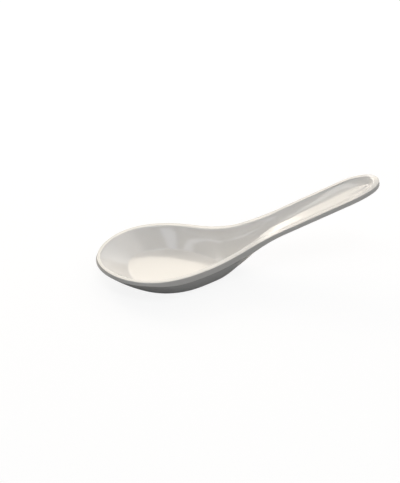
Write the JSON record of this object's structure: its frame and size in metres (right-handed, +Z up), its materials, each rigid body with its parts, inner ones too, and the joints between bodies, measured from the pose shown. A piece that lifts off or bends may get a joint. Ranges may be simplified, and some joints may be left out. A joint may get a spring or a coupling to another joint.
{
  "type": "soup spoon",
  "caption": "Moulded soup spoon with a deep flat-floored oval bowl, a lipped rim and a broad grooved handle that rises from the bowl.",
  "frame": {"origin": "middle of the flat foot under the bowl, on the surface that the spoon rests on", "axes": "+X from the bowl towards the handle, +Z up out of the bowl, XZ the mirror plane"},
  "size_m": [0.142, 0.049, 0.0491],
  "materials": {
    "melamine_compound": "compression-moulded, opaque warm white with a satin gloss",
    "melamine_glaze": "resin overlay pressed over the white compound, high gloss"
  },
  "bodies": {
    "root": {"spoon_body": "melamine_compound", "glaze_overlay": "melamine_glaze"}
  },
  "joints": []
}
